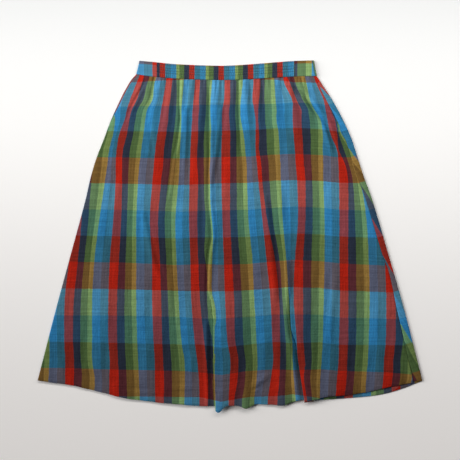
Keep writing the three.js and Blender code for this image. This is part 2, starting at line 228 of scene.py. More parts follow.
# Pinches, sharp valleys between gathers: x at the seam, x at the end, reach, depth, width, and the
# cloth hidden in the valley
PINCHES = [
    (-167, -180, 70, 2.4, 2.2, 2), (-141, -152, 130, 2.3, 2.4, 2),
    (-111, -133, 230, 0.3, 3, 6), (-92, -97, 90, 2.2, 2.6, 3), (-76, -79, 60, 3.2, 1.8, 3),
    (-46, -55, 300, 0.3, 3.2, 2), (-18, -44, 280, 0.3, 4, 3), (17, 23, 200, 5, 2.4, 8),
    (44, 45, 70, 4.6, 2.2, 3), (70, 73, 80, 3.8, 2.2, 4), (113, 118, 70, 2.2, 2.2, 2),
    (139, 145, 60, 2.2, 2.2, 3), (-100, -107, 60, 1.2, 1.6, 1), (93, 96, 50, 1.4, 1.8, 1),
    (0, 1, 60, 1.6, 1.8, 1), (-30, -32, 50, 1.2, 1.6, 1), (57, 58, 45, 1.6, 1.6, 1),
]
# Long creases: the valley's depth and width, the height and width of the ridge beside it (at its
# left where the width is negative), and each point's x and drop along the valley
CREASES = [
    (4.4, 2.7, 2.6, 5, [
        (-47, 40), (-47, 96), (-47.5, 150), (-46.5, 209), (-48.5, 273), (-48, 320), (-43, 366), (-42, 393),
        (-48, 430), (-51, 470), (-52, 520), (-50, 545), (-43, 585)]),
    (4.2, 2.5, 2.2, 5, [
        (-112, 44), (-113, 99), (-111.5, 132), (-115.5, 165), (-122, 199), (-129, 221), (-135, 277),
        (-140, 321)]),
    (5.6, 3, 4.4, 7, [
        (140, 48), (149, 68), (164, 79), (177, 98), (196, 120), (213, 137), (222, 163), (232, 190),
        (238, 218)]),
    (1.4, 4, 3.2, -6, [(150, 68), (177, 98), (196, 120), (213, 137), (222, 163), (232, 190), (238, 218)]),
    (2.2, 4, 1.8, -5, [(-13, 90), (-14, 118), (-22, 198), (-34, 260), (-41, 300)]),
    (1.3, 3.6, 2.2, -6, [(-187, 327), (-177, 378), (-164, 435), (-150, 476), (-133, 503)]),
    (2.4, 4.5, 2.2, -8, [(84, 290), (93, 335), (99, 400), (105, 456), (110, 505), (114, 560)]),
    (2.6, 2.6, 1.4, 4, [(-190, 46), (-196, 60), (-208, 82), (-222, 108), (-232, 140)]),
    (2.8, 5, 1.2, -5, [(-91, 97), (-90, 170), (-94, 277)]),
    (1.7, 4, 1, 6, [(-180, 140), (-177, 170), (-169, 217)]),
    (1.6, 3.6, 1, 5, [(2, 668), (18, 680), (36, 692)]),
    (3, 3, 2.2, 5, [(46, 732), (62, 724), (78, 713), (98, 700)]),
    (4.4, 6, 5, -8, [
        (134, 430), (139, 500), (138, 545), (137, 575), (140, 605), (147, 632), (152.5, 670), (158.5, 710),
        (167, 790)]),
    (3, 4, 3.2, -5, [(-45, 570), (-44, 640), (-43, 700), (-40, 800)]),
    (1, 5, 0, 5, [(-64, 250), (-62, 330), (-60, 420)]),
    (0.9, 6, 0.8, 7, [(222, 470), (215, 560), (206, 640)]),
    (0.8, 6, 0.8, 8, [(-255, 250), (-268, 330), (-272, 420)]),
]
# Long soft folds: x and drop at one end, x and drop at the other, height, width
FOLDS = [
    (113, 290, 125, 500, 1.8, 8), (-178, 348, -118, 577, 2, 15),
    (104, 266, 111, 354, 1.8, 10), (54, 726, 92, 705, 2.4, 6), (-311, 660, -262, 703, 1.6, 11),
    (-197, 52, -214, 84, 1.6, 4), (-118, 240, -140, 330, 1, 12), (-20, 590, 16, 700, 1.4, 11),
]
# Unevenness of worn and washed cloth: height, length across, length along, start
RIPPLES = [
    (0.24, 61, 210, 0.3), (0.2, 37, -330, 1.7), (0.15, 26, 140, 4.1), (0.13, -74, 58, 2.2),
    (0.1, 130, 31, 5),
]
RIPPLE_REACH = 60  # distance below the band over which it builds up
# The same along the hem: height, length in radians, start
HEM_WOBBLES = [(0.4, 13.1, 0.7), (0.25, 5.3, 0)]
# Flutes in the hem: x, dip below the hem's line, half width, height, reach up
FLUTES = [
    (-240, 0, 20, 1.4, 140), (-107, 0, 18, 1.5, 120), (-8.6, 16, 3.2, 1, 60), (36, 9, 13, 3.2, 130),
    (120, 4, 14, 2.4, 110), (184, 9, 12, 1, 60), (250, 0, 20, 1.4, 120),
]
# Pleats, where cloth from the right laps over the left: drop, visible edge, turn in degrees, lap
PLEATS = [
    [(440, -47, 0, 0), (532, -44, 50, 0.5), (577, -38.5, 120, 2), (604, -38, 155, 4), (666, -37.4, 180, 11),
     (770, -34, 180, 18)],
    [(420, 116, 0, 0), (503, 129, 60, 0.5), (572, 133, 145, 4), (603, 136.6, 170, 7), (627, 146, 180, 10),
     (670, 151.5, 180, 14), (756, 165, 180, 19)],
]
PLEAT_TURN = 1.0  # radius at which the cloth turns over
PLEAT_ZONE = 22  # cloth on each side of a pleat's middle that it takes up, at the hem
PLEAT_SETTLE = 70  # width over which the cloth beside it comes back down
PLEAT_DRAG = 0.13  # share of the panel's width that it pulls aside
PLEAT_LEAD = 170  # drop over which that pull builds up
HEM_DEPTH = 30
HEM_TURN = 0.35  # radius of the hem's folded edge
HEM_WIDTH = HEMS[-1][0] - HEMS[0][0]
LAY_ROUNDS = 6  # rounds after which a point's x and drop agree


def ease(value, start, end):
    """Rises smoothly from 0 at the start to 1 at the end."""
    share = np.clip((value - start) / (end - start), 0, 1)
    return share * share * (3 - 2 * share)


def bell(distance, width):
    """Falls from 1 on the line to nearly 0 at twice the width."""
    return np.exp(-((distance / width) ** 2))


def curve(places, values):
    """A smooth curve through values at places, level beyond both ends."""
    last = len(places) - 1
    before = np.clip(np.arange(last + 1) - 1, 0, last)
    after = np.clip(np.arange(last + 1) + 1, 0, last)
    slopes = (values[after] - values[before]) / (places[after] - places[before])

    def at(place):
        place = np.clip(place, places[0], places[-1])
        i = np.clip(np.searchsorted(places, place, side="right") - 1, 0, last - 1)
        span = places[i + 1] - places[i]
        into = (place - places[i]) / span
        blend = ease(into, 0, 1)
        bend = into * (1 - into) * ((1 - into) * slopes[i] - into * slopes[i + 1]) * span
        return values[i] + (values[i + 1] - values[i]) * blend + bend

    return at


def curves(table):
    """A smooth curve for each column of a table, through its values at the first column's places."""
    places, *columns = np.array(table, float).T
    return [curve(places, values) for values in columns]


left_edge, right_edge = curves(SIDES)
band_top, band_seam = curves(WAIST)
front_hem_line, back_hem = curves(HEMS)
[wrap_width] = curves(WRAPS)


def side_seam(drop):
    """X of the seam at which the back panel, come round the right edge, meets the front."""
    return right_edge(drop) - wrap_width(drop)


def front_hem(x):
    """Drop of the front hem's fold, with its flutes."""
    wobble = sum(height * np.sin(x / length + start) for height, length, start in HEM_WOBBLES)
    flutes = sum(dip * bell(x - middle, spread) for middle, dip, spread, _, _ in FLUTES)
    return front_hem_line(x) + wobble + flutes


def lay(across, down, hem, left, right):
    """X and drop of the point at a share of the width and of the length."""
    x = np.zeros_like(across)
    for _ in range(LAY_ROUNDS):
        drop = band_seam(x) * (1 - down) + hem(x) * down
        x = left(drop) * (1 - across) + right(drop) * across
    return x, drop


def pleat_middle(rows):
    """Share of the panel's width at which a pleat's middle lies, at the hem."""
    drop, edge, _, lap = rows[-1]
    start, end = left_edge(drop), side_seam(drop)
    return (edge + PLEAT_TURN + lap / 2 - start) / (end - start)


def pleat_path(step, turn, lap, zone):
    """The cloth's path through a pleat, for steps from 0 to 1: on, over, back, over and on."""
    over = PLEAT_TURN * np.sin(turn)
    climb = PLEAT_TURN * (1 - np.cos(turn))
    width = 2 * over + lap * np.cos(turn)
    height = 2 * climb + lap * np.sin(turn)
    stage = step * 5
    first, second = turn * (stage - 1), turn * (4 - stage)
    spans = [stage <= 1, stage <= 2, stage < 3, stage <= 4]
    x = np.select(spans, [
        -zone + (zone - width / 2) * stage,
        -width / 2 + PLEAT_TURN * np.sin(first),
        -width / 2 + over + lap * (stage - 2) * np.cos(turn),
        width / 2 - PLEAT_TURN * np.sin(second),
    ], width / 2 + (zone - width / 2) * (stage - 4))
    z = np.select(spans, [
        np.zeros_like(stage),
        PLEAT_TURN * (1 - np.cos(first)),
        climb + lap * (stage - 2) * np.sin(turn),
        height - PLEAT_TURN * (1 - np.cos(second)),
    ], height)
    return x, z


def pleat_shift(across, x, drop):
    """How far the pleats drag the front panel's points aside, and fold them sideways and up."""
    start = left_edge(drop)
    width = side_seam(drop) - start
    drags, shift_x, shift_z = np.zeros_like(x), np.zeros_like(x), np.zeros_like(x)
    for rows in PLEATS:
        middle = pleat_middle(rows)
        edge, turn, lap = (column(drop) for column in curves(rows))
        turn = np.radians(np.clip(turn, 0, 180))
        lap = np.maximum(lap, 0)
        zone = PLEAT_ZONE * width / HEM_WIDTH
        formed = ease(turn, 0, 1)
        drag = (edge + PLEAT_TURN + lap / 2 - (start + middle * width))
        drag = drag * ease(drop, rows[0][0] - PLEAT_LEAD, rows[0][0])
        apart = (across - middle) * width
        drags += drag * (0.5 + 0.5 * np.cos(np.pi * np.clip(abs(across - middle) / PLEAT_DRAG, 0, 1)))
        step = apart / (2 * zone) + 0.5
        path_x, path_z = pleat_path(np.clip(step, 0, 1), turn, lap, zone)
        inside = (step > 0) & (step < 1)
        settled = 1 - ease(apart - zone, 0, PLEAT_SETTLE)
        shift_x += np.where(inside, (path_x - apart) * formed, 0)
        shift_z += np.where(step > 0, path_z * formed * settled, 0)
    return drags, shift_x, shift_z


def beside(x, drop, line):
    """How far to the right of a line each point lies, and its share of the way along."""
    line = np.array(line, float)
    lengths = np.hypot(*np.diff(line, axis=0).T)
    nearest, aside, along = np.full(x.shape, 1e9), np.zeros(x.shape), np.zeros(x.shape)
    passed = 0.0
    for (x0, drop0), (x1, drop1), length in zip(line, line[1:], lengths):
        share = np.clip(((x - x0) * (x1 - x0) + (drop - drop0) * (drop1 - drop0)) / length**2, 0, 1)
        apart = np.hypot(x - x0 - share * (x1 - x0), drop - drop0 - share * (drop1 - drop0))
        side = np.sign((x - x0) * (drop1 - drop0) - (drop - drop0) * (x1 - x0))
        closer = apart < nearest
        nearest = np.where(closer, apart, nearest)
        aside = np.where(closer, side * apart, aside)
        along = np.where(closer, (passed + share * length) / lengths.sum(), along)
        passed += length
    return aside, along


def pinch_line(start, end, reach, below):
    """X of a pinch at each distance below the seam, and how fully it is formed there."""
    fade = ease(below, -2, 4) * (1 - ease(below, reach * 0.35, reach))
    return start + (end - start) * below / reach, fade


def drape(x, drop):
    """Height of the front panel's relief above the level where it lies smooth."""
    below = drop - band_seam(x)
    waves = [rise * np.sin(2 * np.pi * (x / across + drop / along) + start)
             for rise, across, along, start in RIPPLES]
    height = sum(waves) * ease(below, 0, RIPPLE_REACH)
    full = GATHER_START + (1 - GATHER_START) * ease(below, -1, GATHER_FULL)
    for place, reach, rise, width in GATHERS:
        line = place * (1 + FAN * below)
        height += rise * full * (1 - ease(below, GATHER_FULL, reach)) * bell(x - line, width)
    fine = np.cos(2 * np.pi * (x / FINE_PITCH + 0.35 * np.sin(x / 23) + 0.2 * np.sin(x / 11)))
    height += FINE_HEIGHT * fine * bell(below, FINE_REACH) * ease(below, -2, 3)
    for start, end, reach, depth, width, _ in PINCHES:
        line, fade = pinch_line(start, end, reach, below)
        height -= depth * fade * bell(x - line, width * (1 + below / 250))
    for depth, width, rise, ridge, line in CREASES:
        aside, along = beside(x, drop, line)
        fade = ease(along, 0, 0.12) * (1 - ease(along, 0.75, 1))
        offset = np.sign(ridge) * (width + 0.8 * abs(ridge))
        height += fade * (rise * bell(aside - offset, abs(ridge)) - depth * bell(aside, width))
    for x0, drop0, x1, drop1, rise, width in FOLDS:
        run = np.array([x1 - x0, drop1 - drop0])
        length = np.hypot(*run)
        along = ((x - x0) * run[0] + (drop - drop0) * run[1]) / length**2
        aside = ((x - x0) * run[1] - (drop - drop0) * run[0]) / length
        fade = ease(along, -0.15, 0.3) * (1 - ease(along, 0.7, 1.15))
        height += rise * fade * bell(aside, width)
    for middle, _, spread, rise, reach in FLUTES:
        height += rise * (1 - ease(front_hem(x) - drop, 0, reach)) * bell(x - middle, spread)
    return height


def front_place(across, curl, down, turn):
    """The middle of the front panel's cloth, in millimetres. Turn is the hem's fold, in radians."""
    radius = FRONT_REST - EDGE_FOOT
    inset = THICKNESS / 2 + radius * (1 - np.cos(curl))

    def inner(drop):
        return left_edge(drop) + inset + PEEK * (1 - ease(drop, *PEEK_ENDS))

    def seam(drop):
        return side_seam(drop) - SEAM_CLEAR / 2

    x, drop = lay(across, down, front_hem, inner, seam)
    to_seam = seam(drop) - x
    calm = ease(np.minimum(x - left_edge(drop), to_seam), 0, EDGE_CALM)
    drags, shift_x, shift_z = pleat_shift(across, x, drop)
    at_hem = 1 - ease(front_hem(x) - drop, HEM_DEPTH, 2 * HEM_DEPTH)
    lowest = LOWEST_DIP + HEM_LIFT * at_hem
    lying = np.maximum(drape(x + drags + shift_x, drop), lowest)
    z = EDGE_FOOT + radius * np.sin(curl) + lying * calm + shift_z
    at_corner = 1 - ease(x - left_edge(drop), CORNER_REACH, EDGE_CALM)
    at_seam = 1 - ease(to_seam, 0, SEAM_DIP_REACH)
    z += (HEM_RISE + CORNER_RISE * at_corner) * at_hem - SEAM_DIP * at_seam
    y = WAIST_TOP - drop - HEM_TURN * np.sin(turn)
    return np.stack([x + drags + shift_x, y, z - HEM_TURN * (1 - np.cos(turn))], -1)


# Edges of the stripes that run down the skirt: place on the cut cloth (in every hundred, red lies
# from 0 to 18 and lime ends at 62), then the edge's x at each of the drops.
STRIPE_DROPS = np.array([
    36, 52, 88, 110, 132, 163, 199, 232, 266, 354, 443, 532, 621, 666, 710, 750], float)
STRIPE_EDGES = np.array([
    (-38, -318, -320, -330, -340, -352, -363, -375, -377, -380, -382, -390, -400, -401, -401, -403, -403),
    (0, -280, -282, -294, -306, -317, -328, -340, -342, -344, -347, -357, -367, -368, -366, -366, -366),
    (18, -262, -264, -276, -288, -299, -310, -322, -324, -326, -330, -338, -347, -349, -347, -347, -349),
    (62, -240, -246, -256, -258, -255, -259, -268, -272, -277, -290, -301, -306, -306, -306, -300, -303),
    (100, -201, -208, -222, -229, -234, -246, -252, -254, -254, -259, -267, -270, -270, -267, -268, -268),
    (118, -191, -196, -207, -218, -224, -229, -238, -240, -240, -242, -247, -251, -251, -249, -247, -247),
    (162, -163, -168, -172, -184, -188, -192, -197, -201, -204, -208, -208, -208, -206, -204, -202, -200),
    (200, -141, -143, -149, -153, -156, -161, -166, -169, -172, -178, -173, -173, -170, -167, -167, -166),
    (218, -127, -129, -133, -136, -138, -142, -147, -149, -153, -160, -156, -153, -151, -149, -147, -147),
    (251, -112, -112, -112, -111, -110.5, -114, -118, -121, -124, -130.7, -128, -123.7, -118, -113, -112,
     -112.5),
    (262, -102, -103, -106, -108, -108, -109, -111, -112, -114, -121, -119, -114, -108, -101, -100, -101),
    (300, -78, -78, -81, -83, -84, -86, -88, -89, -90, -91, -88, -86, -79, -73, -69, -68),
    (318, -67, -67, -69, -69, -71, -71, -73, -73, -71, -73, -71, -67, -58, -53, -49, -49),
    (400, -12, -12, -13, -17, -18, -18, -19, -19, -19, -17, -14, -11, -6, 1, -1, -3),
    (418, 0, 0, 0, -2, -2, 0, 0, 0, 0, 0, 4, 9, 11, 18, 16, 9),
    (462, 28, 28, 24, 23, 24, 30, 34, 37, 38, 41, 50, 54, 59, 61, 59, 54),
    (500, 52, 52, 50, 54, 57, 57, 57, 60, 63, 72, 81, 90, 94, 96, 90, 84),
    (518, 66, 67, 64, 62, 62, 64, 64, 69, 71, 82, 100, 109, 111, 111, 109, 105),
    (551, 90, 91, 91.8, 92.8, 92.8, 97, 98.5, 101.3, 102.5, 108, 118.8, 123, 134.5, 136.6, 136, 138),
    (562, 98, 99, 101, 103, 103, 108, 110, 112, 113, 117, 125, 131, 137.5, 139, 142, 146),
    (600, 118, 121, 138, 139, 139, 141, 144, 146, 149, 151, 144, 141, 148, 151, 158, 164),
    (618, 126, 133, 147, 158, 158, 160, 162, 164, 167, 167, 162, 162, 162, 167, 164, 171),
    (651, 156, 161, 171, 184.5, 193.8, 196, 195.5, 196, 197, 199, 198, 196.5, 195, 194, 191, 192),
    (662, 166, 170, 177, 188, 201, 206, 206, 207, 207, 210, 210, 208, 206, 203, 200, 199),
    (700, 186, 192, 208, 212, 216, 223, 238, 241, 242, 243, 243, 244, 242, 241, 237, 234),
    (718, 192, 198, 216, 224, 233, 238, 241, 256, 262, 262, 262, 262, 262, 260, 258, 253),
    (762, 200, 206, 224, 232, 240, 247, 272, 277, 289, 303, 308, 310, 308, 306, 302, 301),
    (800, 236, 242, 260, 268, 276, 283, 306, 312, 322, 341, 344, 347, 346, 342, 340, 334),
    (818, 254, 260, 278, 286, 294, 301, 324, 330, 340, 359, 362, 367, 367, 362, 360, 351),
])
# The same for the stripes beside the first pleat, where the cloth bends more.
PLEAT_DROPS = np.array([
    36, 67, 96, 124, 152, 181, 209, 243, 273, 311, 334, 366, 393, 420, 447, 470, 511, 538, 561, 577, 592,
    621, 666, 710, 750], float)
PLEAT_EDGES = np.array([
    (335, -53, -52, -53, -54.3, -57, -58.5, -58.5, -58, -58, -57, -54.7, -54.7, -55.8, -57.3, -54.5, -51,
     -50.4, -50.4, -48.9, -48, -45, -38.4, -37.6, -36.5, -35),
    (351, -43, -45.8, -46.5, -46.5, -45, -45.1, -45.1, -46.7, -47.4, -46.7, -45.6, -42.2, -40.4, -45.6,
     -48.3, -49.6, -49.6, -44.4, -40.6, -37.5, -38.2, -37, -36.6, -35.8, -34.3),
    (362, -39.3, -41.5, -43.4, -43.4, -42, -43.4, -43.6, -45.2, -44.4, -43.8, -42.2, -39.2, -37.6, -38.8,
     -39.2, -39.9, -40.6, -34.7, -31.3, -30.4, -33.1, -34, -34, -32.5, -31),
])
WARP_REPEAT = 100
RED_WIDTH = 18
WEFT_REPEAT = 236
WEFT_BAND = 59
FIRST_WEFT = 50  # drop at which the light weft begins
SECOND_WEFT = 96.7  # drop at which the blue weft begins
LEAST_STEP = 1e-6  # keeps two stripe edges from falling together
# How far the weft lies below its straight line: a row for each drop, a column for each x
SAG_X = (-380, -240, -110, -67, -20, 40, 100, 140, 200, 240, 340, 400)
SAG_DROPS = (50, 97, 156, 274, 451, 569, 628, 687, 747)
SAGS = np.array([
    (0, 0, -7, -8, -8, -8, -7, -1, 0, 0, 0, 0),
    (6, 6, 4, 2.3, 2, 1, 0, -3, 0, 4, 4, 4),
    (2, 1.7, 3.2, 1.8, 0.8, -0.5, -5, -6.1, -3.7, 3, 4, 4),
    (-2, 0, 3, 1.5, -1, -1.6, -6.4, -7.9, -5.9, -2, 0, 0),
    (-4, -1.8, 4, 1.3, 3, 1.3, -4.3, -7.6, -5, 0, 4.7, 5),
    (-2.5, -1.7, 1, 4.1, 4, 1, -4.1, -5, -4.1, 2, 4.7, 8),
    (-3, 0, 3, 2.8, 10, 3, -2.4, 0, -2, 3.7, 4.2, 5),
    (-4, 0, 3, 6.6, 11.6, 3, -0.7, 1, -1.3, 2.5, 5.6, 10),
    (-4, 0, 1.6, 2, 12, 1.5, 0, -5, 4, 4, 6, 10),
])


def weft_sag(x, drop):
    """How far the weft lies below its straight line at each point."""
    rows = np.stack([np.interp(x, SAG_X, row) for row in SAGS])
    place = np.interp(drop, SAG_DROPS, np.arange(len(SAG_DROPS)))
    upper = np.clip(place.astype(int), 0, len(SAG_DROPS) - 2)
    share = place - upper
    above = np.take_along_axis(rows, upper[None], 0)[0]
    under = np.take_along_axis(rows, upper[None] + 1, 0)[0]
    return above * (1 - share) + under * share


def weft_place(drop):
    """Distance down the cut cloth, counted from the top of the first light weft."""
    near = WEFT_BAND * (drop - FIRST_WEFT) / (SECOND_WEFT - FIRST_WEFT)
    return np.where(drop < SECOND_WEFT, near, WEFT_BAND + drop - SECOND_WEFT)


def hidden_cloth(x, drop):
    """Cloth drawn down into the pinches up to each x, in millimetres."""
    below = drop - band_seam(x)
    hidden = np.zeros_like(x)
    for start, end, reach, _, width, taken in PINCHES:
        line, fade = pinch_line(start, end, reach, below)
        hidden += taken * fade * ease(x - line, -width, width)
    return hidden


def warp_places(points):
    """Distance across the cut cloth for each point of a panel. Each row's length is measured along
    the cloth, so what a pleat hides counts, and the stripes' edges fix it."""
    tables = [(STRIPE_DROPS, row) for row in STRIPE_EDGES]
    tables += [(PLEAT_DROPS, row) for row in PLEAT_EDGES]
    tables.sort(key=lambda table: table[1][0])
    marks = np.array([row[0] for _, row in tables])
    edges = [curve(drops, row[1:]) for drops, row in tables]
    found = np.zeros(points.shape[:2])
    for row, places in enumerate(points):
        x, drop, z = places[:, 0], WAIST_TOP - places[:, 1], places[:, 2]
        steps = np.hypot(np.diff(x), np.diff(z)) + np.diff(hidden_cloth(x, drop))
        length = np.concatenate([[0], np.cumsum(abs(steps))])
        at = []
        for edge in edges:
            ahead = x - edge(drop)
            if ahead[0] >= 0:
                at.append(-ahead[0])
            elif ahead[-1] <= 0:
                at.append(length[-1] - ahead[-1])
            else:
                crossings = np.flatnonzero((ahead[:-1] <= 0) & (ahead[1:] > 0))
                top = crossings[np.argmax(z[crossings])]
                share = ahead[top] / (ahead[top] - ahead[top + 1])
                at.append(length[top] + share * (length[top + 1] - length[top]))
        at = np.maximum.accumulate(np.array(at) + LEAST_STEP * np.arange(len(at)))
        before, after = at[0] - WARP_REPEAT, at[-1] + WARP_REPEAT
        found[row] = np.interp(
            length, [before, *at, after], [marks[0] - WARP_REPEAT, *marks, marks[-1] + WARP_REPEAT])
    return found


def cloth_grid(name, points, cut, tube=False):
    """A sheet of cloth from rows of points and their places on the cut cloth. A tube's last row meets
    its first."""
    deep, wide = points.shape[0] - 1, points.shape[1] - 1
    sheet = bmesh.new()
    bmesh.ops.create_grid(sheet, x_segments=wide, y_segments=deep, size=0.5)
    shares = np.array([vert.co[:2] for vert in sheet.verts]) + 0.5
    columns = np.rint(shares[:, 0] * wide).astype(int)
    rows = np.rint((1 - shares[:, 1]) * deep).astype(int)
    places = points[rows, columns] * MM
    sizes = cut[rows, columns] * MM
    layer = sheet.loops.layers.uv.new("cut")
    for vert, place in zip(sheet.verts, places):
        vert.co = place
    for face in sheet.faces:
        face.smooth = True
        for loop in face.loops:
            loop[layer].uv = sizes[loop.vert.index]
    if tube:
        bmesh.ops.remove_doubles(sheet, verts=sheet.verts, dist=1e-6)
        bmesh.ops.reverse_faces(sheet, faces=sheet.faces)
    piece = to_object(name, sheet)
    shell = piece.modifiers.new("thickness", "SOLIDIFY")
    shell.thickness = THICKNESS * MM
    shell.offset = -1 if tube else 0
    return piece


# Stripes of the check: where each begins, as a share of the repeat, and its yarn's colour.
WARP_YARNS = [
    (0.0, (0.312, 0.029, 0.009)), (0.18, (0.026, 0.040, 0.061)), (0.35, (0.082, 0.164, 0.048)),
    (0.51, (0.184, 0.312, 0.090)), (0.62, (0.035, 0.218, 0.404)), (0.81, (0.036, 0.171, 0.253)),
]
# The weft dims the warp's colours and adds some of its own.
WEFT_TINTS = [
    (0.0, (1, 1, 1)), (0.25, (0.66, 0.78, 0.91)), (0.5, (0.73, 0.64, 0.62)), (0.75, (1.08, 0.49, 0.40)),
]
WEFT_GLOWS = [
    (0.0, (0.025, 0.027, 0.038)), (0.25, (0.004, 0.023, 0.047)), (0.5, (0, 0, 0.005)),
    (0.75, (0.06, 0.001, 0.002)),
]
SWAY_SCALE = 70.0
SWAY = 0.0022  # how far the check's edges stray
# Uneven yarns: stretch across and down the cloth, share of the tone
SLUBS = [((900, 22, 1), 0.36), ((22, 900, 1), 0.3), ((330, 7, 1), 0.58), ((9, 250, 1), 0.62)]
WEAR_SCALE = 14.0
WEAR = 0.2
YARN_PITCH = 0.0009
WEAVE_HEIGHT = 0.00004
# Crinkles: stretch across and down the cloth, height
CRINKLES = [((95, 330, 1), 0.0008), ((240, 90, 1), 0.0005)]
CLOTH_LOOK = {"Roughness": 0.9, "Specular IOR Level": 0.06, "Sheen Weight": 0.01, "Sheen Roughness": 0.5}


def maths(tree, operation, links, kind="Math"):
    """The result of a sum on numbers, or on vectors where the kind is VectorMath."""
    return add_node(tree, kind, links, operation=operation).outputs[0]


def stripes(tree, place, repeat, colours):
    """Bands of flat colour along one direction of the cloth, repeated."""
    turns = maths(tree, "MULTIPLY", {0: place, 1: 1 / (repeat * MM)})
    bands = add_node(tree, "ValToRGB", {"Fac": maths(tree, "FRACT", {0: turns})})
    bands.color_ramp.interpolation = "CONSTANT"
    elements = bands.color_ramp.elements
    while len(elements) < len(colours):
        elements.new(1.0)
    for element, (start, colour) in zip(elements, colours):
        element.position = start
        element.color = (*colour, 1)
    return bands.outputs["Color"]


def streaks(tree, place, stretch):
    """Uneven streaks that run along the cloth's threads."""
    spread = maths(tree, "MULTIPLY", {0: place, 1: stretch}, "VectorMath")
    return add_node(tree, "TexNoise", {"Vector": spread, "Scale": 1.0, "Detail": 2.0}).outputs[0]


def madras(name, crinkle, brightness):
    """Yarn-dyed cotton check on the piece's own cut: warp stripes crossed by weft bands."""
    material, tree, shader = new_material(name, CLOTH_LOOK)
    cut = add_node(tree, "UVMap", uv_map="cut").outputs[0]

    sway = add_node(tree, "TexNoise", {"Vector": cut, "Scale": SWAY_SCALE, "Detail": 2.0}).outputs["Color"]
    sway = maths(tree, "SUBTRACT", {0: sway, 1: (0.5, 0.5, 0.5)}, "VectorMath")
    sway = maths(tree, "SCALE", {0: sway, "Scale": SWAY}, "VectorMath")
    swayed = maths(tree, "ADD", {0: cut, 1: sway}, "VectorMath")
    across, down = add_node(tree, "SeparateXYZ", {0: swayed}).outputs[:2]

    warp = stripes(tree, across, WARP_REPEAT, WARP_YARNS)
    tint = stripes(tree, down, WEFT_REPEAT, WEFT_TINTS)
    glow = stripes(tree, down, WEFT_REPEAT, WEFT_GLOWS)
    crossed = maths(tree, "MULTIPLY_ADD", {0: warp, 1: tint, 2: glow}, "VectorMath")

    wear = add_node(tree, "TexNoise", {"Vector": cut, "Scale": WEAR_SCALE, "Detail": 3.0}).outputs[0]
    tones = [(streaks(tree, cut, stretch), amount) for stretch, amount in SLUBS]
    tone = brightness
    for source, amount in [*tones, (wear, WEAR)]:
        part = maths(tree, "ADD", {0: source, 1: -0.5})
        tone = maths(tree, "MULTIPLY_ADD", {0: part, 1: amount, 2: tone})
    coloured = maths(tree, "SCALE", {0: crossed, "Scale": tone}, "VectorMath")
    tree.links.new(coloured, shader.inputs["Base Color"])

    waves = [maths(tree, "SINE", {0: maths(tree, "MULTIPLY", {0: axis, 1: 2 * math.pi / YARN_PITCH})})
             for axis in (across, down)]
    reliefs = [(maths(tree, "MULTIPLY", {0: waves[0], 1: waves[1]}), WEAVE_HEIGHT)]
    reliefs += [(streaks(tree, cut, stretch), height * crinkle) for stretch, height in CRINKLES]
    normal = {}
    for source, height in reliefs:
        links = {"Height": source, "Distance": height, "Strength": 1.0, **normal}
        normal = {"Normal": add_node(tree, "Bump", links).outputs[0]}
    tree.links.new(normal["Normal"], shader.inputs["Normal"])
    return material


check_cotton = madras("madras check cotton", 1.0, 0.9)


def wear_on(piece, material):
    """Gives a piece its cloth, and fixes it to the skirt."""
    piece.data.materials.append(material)
    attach(piece, "root")


# Columns: the curl at the left edge, then even ones that crowd together through each pleat.
FRONT_COLUMNS = 268
PLEAT_COLUMNS = 36
PLEAT_CLEARANCE = 1.05  # even columns keep this many of a pleat's half widths from its middle
SEAM_COLUMNS = np.array([1.2, 2.4])  # distances from the side seam
half_pleat = PLEAT_ZONE / HEM_WIDTH
evenly = np.arange(1, FRONT_COLUMNS + 1) / FRONT_COLUMNS
for rows in PLEATS:
    evenly = evenly[abs(evenly - pleat_middle(rows)) > half_pleat * PLEAT_CLEARANCE]
pleat_steps = np.linspace(-1, 1, PLEAT_COLUMNS)
close = [pleat_middle(rows) + half_pleat * pleat_steps for rows in PLEATS]
shares = np.concatenate([evenly, *close, 1 - SEAM_COLUMNS / HEM_WIDTH])
front_columns = np.concatenate([
    [(0, curl) for curl in np.radians([0, 22, 45, 67, 90])],
    [(share, math.pi / 2) for share in np.sort(shares)],
]).T

# Rows: from inside the band down to the hem, closer at the stitches, then round the hem's fold and
# up inside. Each has its share of the length, its turn and its lift.
PANEL_LENGTH = 720
FRONT_ROWS = 132
ROW_CROWDING = 1.25
ROWS_IN_BAND = np.array([-2.4, -1.2])
ROWS_AT_STITCHES = np.array([-3, -1.2, 0, 1.2, 3])
hem_stitch = 1 - HEM_DEPTH / PANEL_LENGTH
flat_rows = np.sort(np.concatenate([
    ROWS_IN_BAND / PANEL_LENGTH,
    np.linspace(0, 1, FRONT_ROWS) ** ROW_CROWDING,
    hem_stitch + ROWS_AT_STITCHES / PANEL_LENGTH,
]))
row_down, row_turn, row_lift = np.concatenate([
    [(down, 0, 0) for down in flat_rows],
    [(1, turn, 0) for turn in np.radians([45, 90, 135, 180])],
    [(1 - lift / PANEL_LENGTH, math.pi, lift) for lift in (10, 20, HEM_DEPTH)],
]).T


def panel_grid(place, columns):
    """A panel's points, row by row, from its columns' values."""
    spread = [np.tile(values, (len(row_down), 1)) for values in columns]
    down, turn = (np.tile(values[:, None], (1, len(columns[0]))) for values in (row_down, row_turn))
    return place(*spread, down, turn)


def weft_places(points, shift=0.0):
    """Distance down the cut cloth for each point; the turned hem runs on past the fold."""
    drop = WAIST_TOP - points[..., 1]
    along = weft_place(drop - weft_sag(points[..., 0], drop) + shift)
    fold = np.flatnonzero(row_turn > 0)[0] - 1
    past = HEM_TURN * row_turn + row_lift
    along[fold + 1:] = along[fold] + past[fold + 1:, None]
    return along


front_points = panel_grid(front_place, front_columns)
front_cut = np.stack([warp_places(front_points), weft_places(front_points)], -1)
front_panel = cloth_grid("front_panel_cloth", front_points, front_cut)
wear_on(front_panel, check_cotton)
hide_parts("front_panel")

